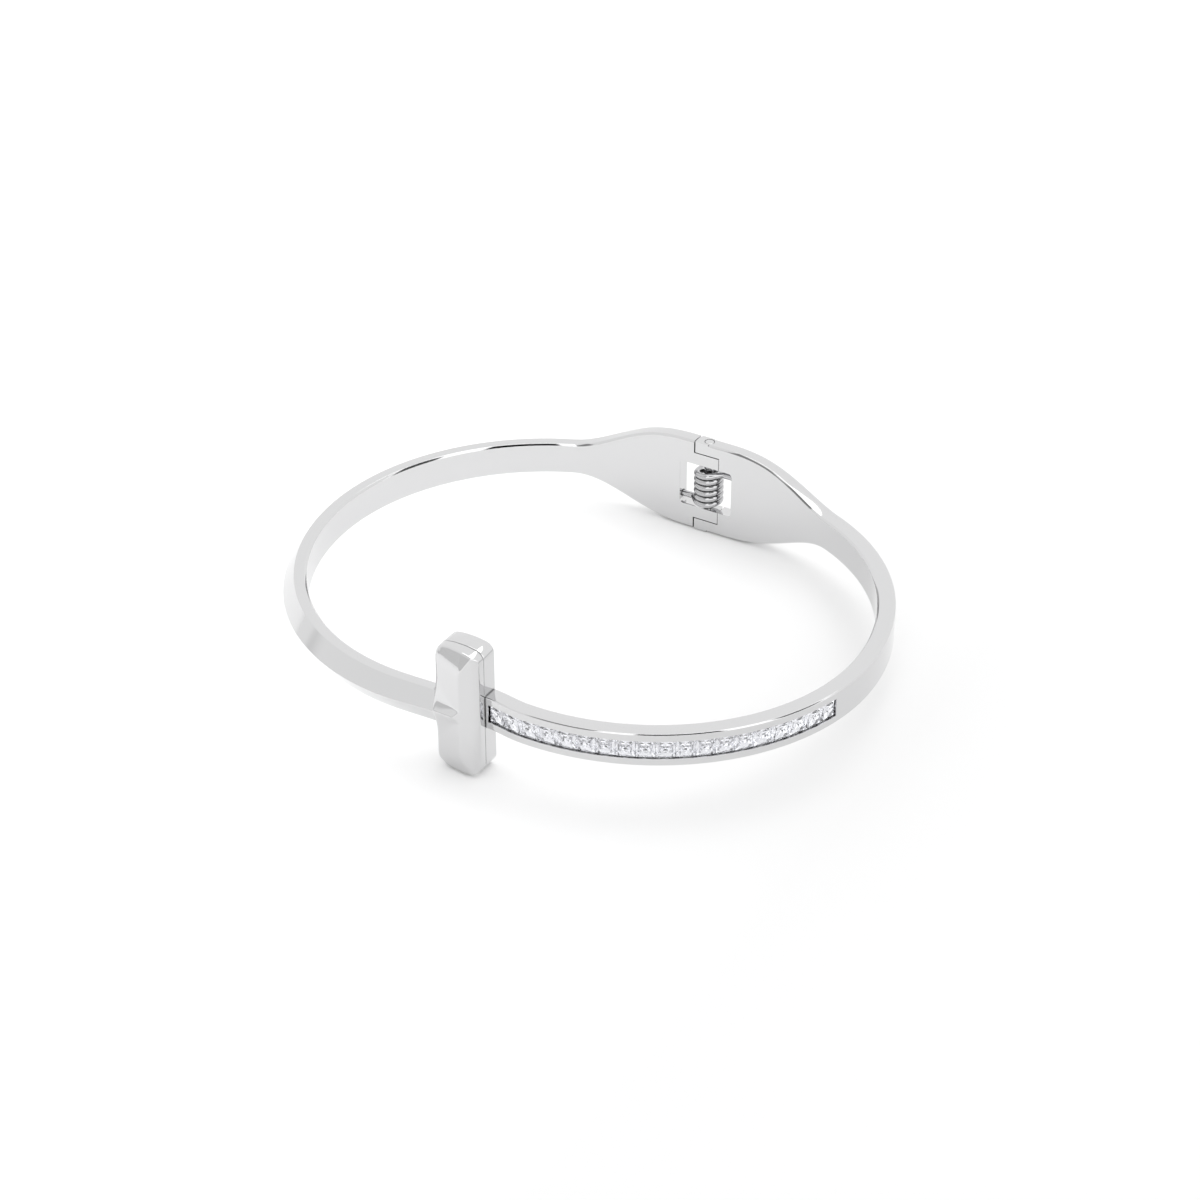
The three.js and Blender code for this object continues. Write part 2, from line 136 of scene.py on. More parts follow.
# Radii of the corners in the arms' sections.
INNER_CORNER = 0.04
SIDE_CORNER = 0.06
KNIFE_CORNER = 0.08
OUTER_CORNER = 0.03
RIDGE_ON_PLATE = 0.02  # the ridge's start on the hinge plate's outer face
RIDGE_FADE = (9, 3)  # distances from the bar between which the ridge gets lower

NOSE_CORNER = 0.05
LEG_HOLE_IN_WINDOW = 0.2
LEG_HOLE_PAST_LEG = 0.1
LEG_BEND = ((0.16, 0), (0, 0.03), (-0.1, 0.1))  # steps past the bend point, and sideways

# The front plate: slopes and tilts of its hips, and widths of the soft joins.
HIP_SLOPE = 0.37
HIP_TILT = 0.12
ARM_PROUD = 0.04  # the plate stands this far over the arm that runs on inside it
TIP_UNDER_PLATE = 0.05  # the arm's cut tip stays this far under the plate
ARM_JOIN = (0.05, 0.9)
ARM_JOIN_RUN = (-0.3, 2)
LEFT_HIP_JOIN = 0.22
RIGHT_HIP_JOIN = 0.05
BEVEL_JOIN = 0.1
RIDGE_JOIN = 0.07
EDGE_RADIUS = 0.12
LEFT_EDGE_RADIUS = 0.55
LEFT_EDGE_RUN = (1.6, 2.3)
BAR_END_ZONE = 0.1

# Stone proportions: the table is a share of the half width.
TABLE_SHARE = 0.74
CROWN_HEIGHT = 0.18
GIRDLE_HEIGHT = 0.1
CULET_DEPTH = 0.64
CHEVRONS = ((-0.2, 0.78), (-0.42, 0.42))  # height, and share of the way out to the girdle
FIRST_PAVILION_FACE = 9  # a stone's table and the two rows of facets round it come first

# ---------- How finely the pieces are meshed ----------

CURVE_STEPS = 400
BEND_STEPS = 80
BACK_STEPS = 60
TAIL_STEPS = 30
ROUND_SIDES = 64
HOLE_SIDES = 32
NOSE_STEPS = 16
COIL_STEPS = 48  # to a turn
WIRE_SIDES = 20
WINDOW_CORNER_STEPS = 8
BAR_CORNER_STEPS = 14
OUTLINE_STEP = 0.09
# The front plate's rings, as shares of the way in: close together over the rounded edge.
EDGE_SHARES = [0, 0.004, 0.012, 0.025, 0.045, 0.07, 0.1, 0.135, 0.175, 0.22, 0.27]
INNER_SHARES = list(np.linspace(0.31, 0.97, 17))

# ---------- Tones of the materials and the studio ----------

STEEL_TONE = (0.66, 0.66, 0.665)
SPRING_TONE = (0.5, 0.5, 0.51)
# Painted shade: the steel's colour is darkened towards this near-black tone in narrow gaps and hollows, found
# by ambient occlusion.
CREVICE_SHADE_TONE = (0.03, 0.03, 0.03, 1)
CREVICE_SHADE_REACH = 0.35  # mm
CREVICE_SHADE_RANGE = (0.3, 0.8)  # openness of a place, from full painted shade to none
FLOOR_GLOW = 0.14
FLOOR_SHADE_TONES = (0.86, 0.68)  # left and right: the right side is painted darker, a painted shade for the dimmer floor that the steel mirrors there
FLOOR_SHADE_FADE = (-0.02, 0.035)  # m, where the left tone ends and the right tone begins
FLOOR_GAP = 0.00005  # m, under the bangle
FRONT_TONE = 1.0
BACK_TONE = 1.08
DEPTH_RANGE = (-0.7, 0.7)  # from the front to the back of the surroundings
# Each band: azimuths, elevations, softness of its edges in degrees, tone. Azimuth 0 is +Y, 90 is +X.
BANDS = (
    ((60, 180), (-5, 66), 4, 1.7),
    ((62, 86), (34, 54), 2, 0.12),
    ((113, 160), (40, 64), 2, 0.02),
    ((-175, -100), (-8, 6), 3, 0.76),
    ((-179, -145), (44, 57), 2, 0.3),
)

# The CAD origin is the middle of the bounding box: the pin's own box gives the shift.
pin_low, pin_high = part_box("hinge_pin")
SHIFT = Vector(
    (
        (pin_low[0] + pin_high[0]) / 2,
        (pin_low[1] + pin_high[1]) / 2 - PIN_Y * MM,
        (pin_low[2] + pin_high[2]) / 2,
    )
)


# ---------- Mesh helpers ----------

def link(name, mesh):
    piece = bpy.data.objects.new(name, mesh)
    bpy.context.scene.collection.objects.link(piece)
    return piece


def mesh_piece(name, points_mm, faces):
    """An object from points in millimetres of the design frame."""
    mesh = bpy.data.meshes.new(name)
    points = [tuple(Vector(p) * MM + SHIFT) for p in points_mm]
    mesh.from_pydata(points, [], faces)
    mesh.validate()
    fix = bmesh.new()
    fix.from_mesh(mesh)
    bmesh.ops.recalc_face_normals(fix, faces=fix.faces)
    fix.to_mesh(mesh)
    fix.free()
    return link(name, mesh)


def ring_faces(rings, count):
    """Four-sided faces that join rings of count points each, one ring after another."""
    faces = []
    for i in range(rings - 1):
        for j in range(count):
            a = i * count + j
            b = i * count + (j + 1) % count
            faces.append((a, b, b + count, a + count))
    return faces


def circle(radius, sides):
    angles = np.linspace(0, 2 * math.pi, sides + 1)[:-1]
    return [(radius * math.cos(a), radius * math.sin(a)) for a in angles]


def box_piece(low, high):
    """A box between two corners, to cut with."""
    points = [(x, y, z) for x in (low[0], high[0]) for y in (low[1], high[1]) for z in (low[2], high[2])]
    faces = [(0, 1, 3, 2), (4, 6, 7, 5), (0, 4, 5, 1), (2, 3, 7, 6), (0, 2, 6, 4), (1, 5, 7, 3)]
    return mesh_piece("cutter", points, faces)


def prism_piece(outline, low, high, place):
    """A closed prism: outline points (u, v), from low to high along w, put in space by place(u, v, w)."""
    count = len(outline)
    points = [place(u, v, low) for u, v in outline] + [place(u, v, high) for u, v in outline]
    faces = [tuple(range(count)), tuple(range(count, 2 * count))] + ring_faces(2, count)
    return mesh_piece("prism", points, faces)


def settle(piece):
    """Bakes a piece's modifiers into its mesh."""
    depsgraph = bpy.context.evaluated_depsgraph_get()
    baked = bpy.data.meshes.new_from_object(piece.evaluated_get(depsgraph))
    baked.name = piece.name
    piece.modifiers.clear()
    piece.data = baked


def carve(piece, tool, operation="DIFFERENCE"):
    """Cuts the tool out of a piece, or adds it, and removes the tool."""
    cut = piece.modifiers.new(operation.lower(), "BOOLEAN")
    cut.operation = operation
    cut.object = tool
    cut.solver = "EXACT"
    settle(piece)
    bpy.data.objects.remove(tool)


def slice_off(piece, point, normal):
    """Cuts away what lies beyond a plane, and closes the cut."""
    edit = bmesh.new()
    edit.from_mesh(piece.data)
    place = Vector(point) * MM + SHIFT
    everything = edit.verts[:] + edit.edges[:] + edit.faces[:]
    cut = bmesh.ops.bisect_plane(edit, geom=everything, plane_co=place, plane_no=normal, clear_outer=True)
    edges = [e for e in cut["geom_cut"] if isinstance(e, bmesh.types.BMEdge)]
    bmesh.ops.holes_fill(edit, edges=edges, sides=0)
    bmesh.ops.recalc_face_normals(edit, faces=edit.faces)
    edit.to_mesh(piece.data)
    edit.free()


def soften(piece, width, angle=25, segments=3):
    """A real rounded edge on every corner sharper than angle degrees."""
    bevel = piece.modifiers.new("rounded edges", "BEVEL")
    bevel.width = width * MM
    bevel.segments = segments
    bevel.limit_method = "ANGLE"
    bevel.angle_limit = math.radians(angle)
    bevel.use_clamp_overlap = True
    settle(piece)


def polish(piece, sharp_angle=32):
    """Smooth shading that keeps flats flat and corners crisp."""
    mesh = piece.data
    mesh.polygons.foreach_set("use_smooth", [True] * len(mesh.polygons))
    mesh.set_sharp_from_angle(angle=math.radians(sharp_angle))
    weighted = piece.modifiers.new("weighted normals", "WEIGHTED_NORMAL")
    weighted.mode = "FACE_AREA"
    weighted.keep_sharp = True
    weighted.weight = 80


# ---------- Arm outline ----------

class ArmLine:
    """One arm's line in plan, from the hinge to the crossbar, moved outwards by offset."""

    def __init__(self, arm, end_x, side, offset=0.0):
        back = BACK_Y + offset
        front = arm["front"] + offset
        bar_front = arm["bar_front"] + offset
        reach = arm["reach"] + offset
        straight = arm["front_straight"]
        turn_x = max(end_x, BAR_RIGHT_X)
        quarter = np.linspace(0, math.pi / 2, CURVE_STEPS)
        bend = np.linspace(0, 1, BEND_STEPS)
        ease = bend * bend * (3 - 2 * bend)
        flat = np.linspace(0, BACK_STRAIGHT, BACK_STEPS)[:-1]
        parts = [
            np.stack([flat, np.full_like(flat, back)], 1),
            np.stack(
                [BACK_STRAIGHT + (reach - BACK_STRAIGHT) * np.sin(quarter), back * np.cos(quarter)], 1
            )[:-1],
            np.stack([straight + (reach - straight) * np.cos(quarter), -front * np.sin(quarter)], 1)[:-1],
            np.stack([straight + (turn_x - straight) * bend, -front + (front - bar_front) * ease], 1),
        ]
        if end_x < turn_x:
            tail = np.linspace(turn_x, end_x, TAIL_STEPS)[1:]
            parts.append(np.stack([tail, np.full_like(tail, -bar_front)], 1))
        self.points = np.concatenate(parts)
        steps = np.linalg.norm(np.diff(self.points, axis=0), axis=1)
        self.distances = np.concatenate([[0], np.cumsum(steps)])
        self.length = float(self.distances[-1])
        slopes = np.gradient(self.points, self.distances, axis=0)
        self.slopes = slopes / np.linalg.norm(slopes, axis=1)[:, None]
        self.side = side

    def at(self, distance):
        """Place, outward direction, both in plan."""
        x = np.interp(distance, self.distances, self.points[:, 0])
        y = np.interp(distance, self.distances, self.points[:, 1])
        tx = np.interp(distance, self.distances, self.slopes[:, 0])
        ty = np.interp(distance, self.distances, self.slopes[:, 1])
        size = math.hypot(tx, ty)
        return (self.side * x, y), (-self.side * ty / size, tx / size)


def smoothstep(value, low, high):
    t = min(max((value - low) / (high - low), 0), 1)
    return t * t * (3 - 2 * t)


def mix(a, b, t):
    return a + (b - a) * t


def half_height(distance):
    """Half height of the leaf-shaped plate, which runs down to the band in an S curve."""
    along = min(max((distance - PLATE_FLAT) / (PLATE_LENGTH - PLATE_FLAT), 0), 1)
    leaf = (1 + math.cos(math.pi * along**PLATE_CURVE)) / 2
    return mix(BAND_HALF_HEIGHT, PLATE_HALF_HEIGHT, leaf)


def plate_to_band(plate, band, distance):
    return mix(plate, band, smoothstep(distance, *THICKNESS_BLEND))


def rounded(corners, segments=4):
    """An outline from (x, y, radius) corners, each turned into an arc."""
    points = []
    count = len(corners)
    for i, (x, y, radius) in enumerate(corners):
        corner = Vector((x, y))
        before = (Vector(corners[i - 1][:2]) - corner).normalized()
        after = (Vector(corners[(i + 1) % count][:2]) - corner).normalized()
        half_angle = before.angle(after) / 2
        run = radius / math.tan(half_angle)
        centre = corner + (before + after).normalized() * (radius / math.sin(half_angle))
        start = corner + before * run - centre
        end = corner + after * run - centre
        turn = start.angle_signed(end)
        for k in range(segments + 1):
            arc = Matrix.Rotation(-turn * k / segments, 2) @ start
            points.append(tuple(centre + arc))
    return points


def loft(name, line, start, end, section_at, step=0.3):
    """A closed skin through one section for each station along a line."""
    count = math.ceil((end - start) / step)
    points = []
    ring = 0
    for i in range(count + 1):
        distance = mix(start, end, i / count)
        (x, y), (out_x, out_y) = line.at(distance)
        section = section_at(distance)
        ring = len(section)
        points += [(x + out * out_x, y + out * out_y, height) for out, height in section]
    faces = [tuple(range(ring)), tuple(range(count * ring, (count + 1) * ring))]
    faces += ring_faces(count + 1, ring)
    return mesh_piece(name, points, faces)


# ---------- Hinge pieces ----------

def upright(radius, low, high):
    """A round bar along the hinge axis."""
    return prism_piece(circle(radius, ROUND_SIDES), low, high, lambda u, v, w: (u, PIN_Y + v, w))


def nose(direction, radius, low, high):
    """A knuckle's end towards direction: flat on the wrist half, round on the outer half."""
    half = PLATE_THICKNESS / 2
    angle = math.asin(half / radius)
    outline = [(-NOSE_ROOT, -half), (radius - NOSE_CORNER, -half), (radius, NOSE_CORNER - half)]
    outline += [(radius * math.cos(a), radius * math.sin(a)) for a in np.linspace(0, angle, NOSE_STEPS)]
    outline += [(-NOSE_ROOT, half)]
    return prism_piece(outline, low, high, lambda u, v, w: (direction * u, PIN_Y + v, w))


def spring_window(wall_x):
    """The opening for the spring in one arm, from its end wall past the pin."""
    h = WINDOW_HALF_HEIGHT
    tiny = 0.01
    if wall_x < 0:
        corners = [(wall_x, -h, WINDOW_CORNER), (FAR, -h, tiny), (FAR, h, tiny), (wall_x, h, WINDOW_CORNER)]
    else:
        corners = [(-FAR, -h, tiny), (wall_x, -h, WINDOW_CORNER), (wall_x, h, WINDOW_CORNER), (-FAR, h, tiny)]
    return prism_piece(rounded(corners, WINDOW_CORNER_STEPS), 0, FAR, lambda u, v, w: (u, w, v))


def leg_hole(wall_x, height):
    """The hole for one leg of the spring, in the end wall of the window."""
    sign = math.copysign(1, wall_x)
    in_window = wall_x - sign * LEG_HOLE_IN_WINDOW
    bottom = wall_x + sign * (LEG_DEPTH + LEG_HOLE_PAST_LEG)
    low, high = sorted((in_window, bottom))
    outline = circle(LEG_HOLE_RADIUS, HOLE_SIDES)
    return prism_piece(outline, low, high, lambda u, v, w: (w, PIN_Y + u, height + v))


def left_section(distance, length):
    half = half_height(distance)
    side = plate_to_band(PLATE_THICKNESS, LEFT_SIDE, distance)
    near_bar = smoothstep(distance, length - RIDGE_FADE[0], length - RIDGE_FADE[1])
    ridge_on_band = mix(LEFT_RIDGE, LEFT_RIDGE_AT_BAR, near_bar)
    ridge = plate_to_band(PLATE_THICKNESS + RIDGE_ON_PLATE, ridge_on_band, distance)
    return rounded(
        [
            (0, INNER_BEVEL - half, INNER_CORNER),
            (INNER_BEVEL, -half, INNER_CORNER),
            (side, -half, SIDE_CORNER),
            (ridge, 0, KNIFE_CORNER),
            (side, half, SIDE_CORNER),
            (INNER_BEVEL, half, INNER_CORNER),
            (0, half - INNER_BEVEL, INNER_CORNER),
        ]
    )


def right_section(distance):
    half = half_height(distance)
    thickness = plate_to_band(PLATE_THICKNESS, RIGHT_THICKNESS, distance)
    return rounded(
        [
            (0, INNER_BEVEL - half, INNER_CORNER),
            (INNER_BEVEL, -half, INNER_CORNER),
            (thickness - OUTER_BEVEL, -half, OUTER_CORNER),
            (thickness, OUTER_BEVEL - half, OUTER_CORNER),
            (thickness, half - OUTER_BEVEL, OUTER_CORNER),
            (thickness - OUTER_BEVEL, half, OUTER_CORNER),
            (INNER_BEVEL, half, INNER_CORNER),
            (0, half - INNER_BEVEL, INNER_CORNER),
        ]
    )


def make_left_arm():
    line = ArmLine(LEFT, -RIDGE_X, -1)
    arm = loft("left_arm_polished", line, 0, line.length, lambda d: left_section(d, line.length))
    carve(arm, box_piece((LEFT_SHOULDER_X, 0, TONGUE_TOP), (FAR, FAR, FAR)))
    carve(arm, box_piece((LEFT_SHOULDER_X, 0, -FAR), (FAR, FAR, -TONGUE_TOP)))
    carve(arm, nose(1, TONGUE_RADIUS, -TONGUE_TOP, TONGUE_TOP), "UNION")
    carve(arm, spring_window(WINDOW_LEFT_X))
    carve(arm, upright(BORE_RADIUS, -FAR, FAR))
    carve(arm, leg_hole(WINDOW_LEFT_X, -COIL_HEIGHT / 2))
    ridge_y = -LEFT["bar_front"] - FRONT_RIDGE + TIP_UNDER_PLATE
    slice_off(arm, (RIDGE_X, ridge_y, 0), (FRONT_RIGHT_SLOPE, -1, 0))
    return arm


STONE_LINE = ArmLine(RIGHT, BAR_RIGHT_X, 1, RIGHT_THICKNESS)
CHANNEL_END = STONE_LINE.length - FIRST_STONE_GAP
CHANNEL_START = CHANNEL_END - STONE_COUNT * STONE_PITCH - 2 * CHANNEL_MARGIN


def make_right_arm():
    line = ArmLine(RIGHT, BAR_RIGHT_X, 1)
    arm = loft("right_arm_polished", line, 0, line.length, right_section)
    carve(arm, box_piece((-FAR, 0, -KNUCKLE_BOTTOM), (RIGHT_SHOULDER_X, FAR, KNUCKLE_BOTTOM)))
    carve(arm, nose(-1, KNUCKLE_RADIUS, KNUCKLE_BOTTOM, PLATE_HALF_HEIGHT), "UNION")
    carve(arm, nose(-1, KNUCKLE_RADIUS, -PLATE_HALF_HEIGHT, -KNUCKLE_BOTTOM), "UNION")
    carve(arm, spring_window(WINDOW_RIGHT_X))
    carve(arm, upright(BORE_RADIUS, -FAR, FAR))
    carve(arm, leg_hole(WINDOW_RIGHT_X, COIL_HEIGHT / 2))
    slot = [
        (-CHANNEL_DEPTH, -CHANNEL_HALF_WIDTH),
        (1, -CHANNEL_HALF_WIDTH),
        (1, CHANNEL_HALF_WIDTH),
        (-CHANNEL_DEPTH, CHANNEL_HALF_WIDTH),
    ]
    carve(arm, loft("channel", STONE_LINE, CHANNEL_START, CHANNEL_END, lambda d: slot))
    return arm


def make_pin():
    pin = upright(PIN_RADIUS, -PLATE_HALF_HEIGHT, PLATE_HALF_HEIGHT)
    pin.name = "hinge_pin_polished"
    soften(pin, 0.06)
    return pin


def spring_route():
    """Points along the wire's centre line: left leg, coil, right leg."""
    reach = LEG_BEND_X
    tangent_angle = math.acos(COIL_RADIUS / reach)
    low, high = -COIL_HEIGHT / 2, COIL_HEIGHT / 2
    start = math.pi + tangent_angle
    turn = 2 * math.pi * COIL_TURNS + math.pi - 2 * tangent_angle
    count = round(turn / (2 * math.pi) * COIL_STEPS)
    coil = [
        (
            COIL_RADIUS * math.cos(start + turn * i / count),
            COIL_RADIUS * math.sin(start + turn * i / count),
            mix(low, high, i / count),
        )
        for i in range(count + 1)
    ]
    left = [(WINDOW_LEFT_X - LEG_DEPTH, 0, low)]
    left += [(-reach - step, -aside, low) for step, aside in LEG_BEND]
    right = [(reach + step, aside, high) for step, aside in reversed(LEG_BEND)]
    right += [(WINDOW_RIGHT_X + LEG_DEPTH, 0, high)]
    return left + coil + right


def make_spring():
    """A round wire skinned along its route."""
    route = [Vector((x, y + PIN_Y, z)) for x, y, z in spring_route()]
    points = []
    for i, here in enumerate(route):
        ahead = route[min(i + 1, len(route) - 1)] - route[max(i - 1, 0)]
        ahead.normalize()
        up = Vector((0, 0, 1))
        across = ahead.cross(up).normalized()
        up = across.cross(ahead)
        for k in range(WIRE_SIDES):
            angle = 2 * math.pi * k / WIRE_SIDES
            points.append(here + WIRE_RADIUS * (math.cos(angle) * across + math.sin(angle) * up))
    last = (len(route) - 1) * WIRE_SIDES
    faces = [tuple(range(WIRE_SIDES)), tuple(range(last, last + WIRE_SIDES))]
    faces += ring_faces(len(route), WIRE_SIDES)
    return mesh_piece("torsion_spring_wire", points, faces)


# ---------- Crossbar ----------

def bar_outline():
    """Both plates' outline, seen from the front, with crowned ends."""
    h = BAR_HALF_HEIGHT
    shoulder = h - BAR_END_CROWN
    flat_left, flat_right = BAR_FLAT
    r = BAR_CORNER_RADIUS
    crown = BAR_CROWN_RADIUS
    corners = [
        (BAR_LEFT_X, -shoulder, r),
        (flat_left, -h, crown),
        (flat_right, -h, crown),
        (BAR_RIGHT_X, -shoulder, r),
        (BAR_RIGHT_X, shoulder, r),
        (flat_right, h, crown),
        (flat_left, h, crown),
        (BAR_LEFT_X, shoulder, r),
    ]
    return rounded(corners, BAR_CORNER_STEPS)


def even_steps(outline, step):
    """A closed outline again, with points every step."""
    closed = np.array(outline + outline[:1])
    along = np.concatenate([[0], np.cumsum(np.linalg.norm(np.diff(closed, axis=0), axis=1))])
    places = np.linspace(0, along[-1], round(along[-1] / step) + 1)[:-1]
    return [(np.interp(d, along, closed[:, 0]), np.interp(d, along, closed[:, 1])) for d in places]


def blend_min(a, b, width):
    """The lower of two heights, with a soft join where they are within width of each other."""
    overlap = max(width - abs(a - b), 0) / width
    return min(a, b) - overlap * overlap * width / 4


def front_depth(x, z):
    """How far the front plate stands out at a place: a roof with two hips and the arm's fading ridge."""
    left = FRONT_LEFT_EDGE + (FRONT_RIDGE - FRONT_LEFT_EDGE) * (x - BAR_LEFT_X) / (RIDGE_X - BAR_LEFT_X)
    right = FRONT_RIDGE - FRONT_RIGHT_SLOPE * (x - RIDGE_X)
    arm = ARM_PROUD + LEFT_RIDGE_AT_BAR - (LEFT_RIDGE_AT_BAR - LEFT_SIDE) * abs(z) / BAND_HALF_HEIGHT
    hip = FRONT_RIDGE - HIP_SLOPE * (abs(z) - RIDGE_HALF_LENGTH) + HIP_TILT * min(x - RIDGE_X, 0)
    bevel = FRONT_RIGHT_EDGE + BAR_RIGHT_X - x
    spread = mix(*ARM_JOIN, smoothstep(-x, *ARM_JOIN_RUN))
    left_side = blend_min(-blend_min(-left, -arm, spread), hip, LEFT_HIP_JOIN)
    right_side = blend_min(blend_min(right, hip, RIGHT_HIP_JOIN), bevel, BEVEL_JOIN)
    return blend_min(left_side, right_side, RIDGE_JOIN)


def front_plate_surface():
    """Rings of the plate's front, from its outline in to its middle line, with rounded-over edges."""
    outline = even_steps(bar_outline(), OUTLINE_STEP)
    middle_x = (BAR_LEFT_X + BAR_RIGHT_X) / 2
    half_width = (BAR_RIGHT_X - BAR_LEFT_X) / 2
    spine = BAR_HALF_HEIGHT - half_width
    rings = []
    for share in EDGE_SHARES + INNER_SHARES:
        ring = []
        for x, z in outline:
            centre_z = min(max(z, -spine), spine)
            run = math.hypot(x - middle_x, z - centre_z)
            inside = share * run
            radius = EDGE_RADIUS
            if abs(z) < BAR_HALF_HEIGHT - BAR_END_ZONE:
                radius = mix(EDGE_RADIUS, LEFT_EDGE_RADIUS, smoothstep(-x, *LEFT_EDGE_RUN))
            cut = 0
            if inside < radius:
                cut = radius - math.sqrt(radius * radius - (radius - inside) ** 2)
            px = middle_x + (x - middle_x) * (1 - share)
            pz = centre_z + (z - centre_z) * (1 - share)
            ring.append((px, pz, front_depth(px, pz) - cut))
        rings.append(ring)
    return rings


def zip_shut(ring, base):
    """Triangles across a long narrow ring, whose points are numbered from base."""
    count = len(ring)
    behind = min(range(count), key=lambda k: ring[k][1])
    ahead = (behind + 1) % count
    top = max(range(count), key=lambda k: ring[k][1])
    faces = []
    while (behind - ahead) % count > 1:
        next_ahead = (ahead + 1) % count
        next_behind = (behind - 1) % count
        right_is_lower = ring[next_ahead][1] < ring[next_behind][1]
        if behind == top or (ahead != top and right_is_lower):
            faces.append((base + ahead, base + next_ahead, base + behind))
            ahead = next_ahead
        else:
            faces.append((base + ahead, base + next_behind, base + behind))
            behind = next_behind
    return faces


def make_front_plate():
    inner = -LEFT["bar_front"]
    rings = front_plate_surface()
    count = len(rings[0])
    points = [(x, inner + ARM_PROUD, z) for x, z, _ in rings[0]]
    for ring in rings:
        points += [(x, inner - depth, z) for x, z, depth in ring]
    faces = [tuple(range(count))] + ring_faces(len(rings) + 1, count)
    faces += zip_shut(rings[-1], len(rings) * count)
    return mesh_piece("front_bar_polished", points, faces)


def make_back_plate():
    inner = -RIGHT["bar_front"]
    plate = prism_piece(bar_outline(), inner, inner - RIGHT_THICKNESS, lambda u, v, w: (u, w, v))
    plate.name = "back_bar_polished"
    soften(plate, 0.08)
    return plate


# ---------- Stones ----------

def stone_facets():
    """A square-cut stone, table up: points and faces. Each lower side has five facets in three rows."""
    half = STONE_WIDTH / 2
    rings = [(TABLE_SHARE * half, CROWN_HEIGHT + GIRDLE_HEIGHT), (half, GIRDLE_HEIGHT), (half, 0)]
    points = []
    faces = []
    for size, height in rings:
        points += [(size, size, height), (-size, size, height), (-size, -size, height), (size, -size, height)]
    faces.append((0, 1, 2, 3))
    for r in range(2):
        for k in range(4):
            a = 4 * r + k
            b = 4 * r + (k + 1) % 4
            faces.append((a, b, b + 4, a + 4))
    base = 8
    culet = len(points)
    points.append((0, 0, -CULET_DEPTH))
    middles = []
    for depth, share in CHEVRONS:
        for k in range(4):
            x1, y1, _ = points[base + k]
            x2, y2, _ = points[base + (k + 1) % 4]
            middles.append(len(points))
            points.append(((x1 + x2) / 2 * share, (y1 + y2) / 2 * share, depth))
    for k in range(4):
        corner_a = base + k
        corner_b = base + (k + 1) % 4
        upper = middles[k]
        lower = middles[4 + k]
        faces.append((corner_a, corner_b, upper))
        faces.append((corner_a, upper, lower))
        faces.append((upper, corner_b, lower))
        faces.append((corner_a, lower, culet))
        faces.append((lower, corner_b, culet))
    return points, faces


def make_stone(index):
    """One stone in its place in the channel, counted from the crossbar."""
    distance = CHANNEL_END - CHANNEL_MARGIN - (index + 0.5) * STONE_PITCH
    (x, y), (out_x, out_y) = STONE_LINE.at(distance)
    points, faces = stone_facets()
    top = max(p[2] for p in points) + TABLE_RECESS
    placed = []
    for along, up, out in points:
        reach = out - top
        placed.append((x + reach * out_x + along * out_y, y + reach * out_y - along * out_x, up))
    return mesh_piece(f"cut_stone_{index + 1:02d}", placed, faces)


# ---------- Materials ----------

def new_material(name):
    material = bpy.data.materials.new(name)
    material.use_nodes = True
    nodes = material.node_tree.nodes
    links = material.node_tree.links
    return material, nodes, links, nodes["Principled BSDF"]


def add_noise(nodes, links, scale, detail, stretch=(1, 1, 1)):
    place = nodes.new("ShaderNodeTexCoord")
    mapping = nodes.new("ShaderNodeMapping")
    mapping.inputs["Scale"].default_value = stretch
    noise = nodes.new("ShaderNodeTexNoise")
    noise.inputs["Scale"].default_value = scale
    noise.inputs["Detail"].default_value = detail
    links.new(place.outputs["Object"], mapping.inputs["Vector"])
    links.new(mapping.outputs["Vector"], noise.inputs["Vector"])
    return noise


def ramp(nodes, links, source, taken, given=(0, 1), shape="LINEAR"):
    """A value from the range taken, turned into one from the range given."""
    spread = nodes.new("ShaderNodeMapRange")
    spread.interpolation_type = shape
    spread.inputs["From Min"].default_value = taken[0]
    spread.inputs["From Max"].default_value = taken[1]
    spread.inputs["To Min"].default_value = given[0]
    spread.inputs["To Max"].default_value = given[1]
    links.new(source, spread.inputs["Value"])
    return spread.outputs["Result"]


def calculate(nodes, links, operation, source, other=None):
    """A sum on one value, or on two. The second may be a plain number."""
    node = nodes.new("ShaderNodeMath")
    node.operation = operation
    links.new(source, node.inputs[0])
    if isinstance(other, float):
        node.inputs[1].default_value = other
    elif other is not None:
        links.new(other, node.inputs[1])
    return node.outputs["Value"]


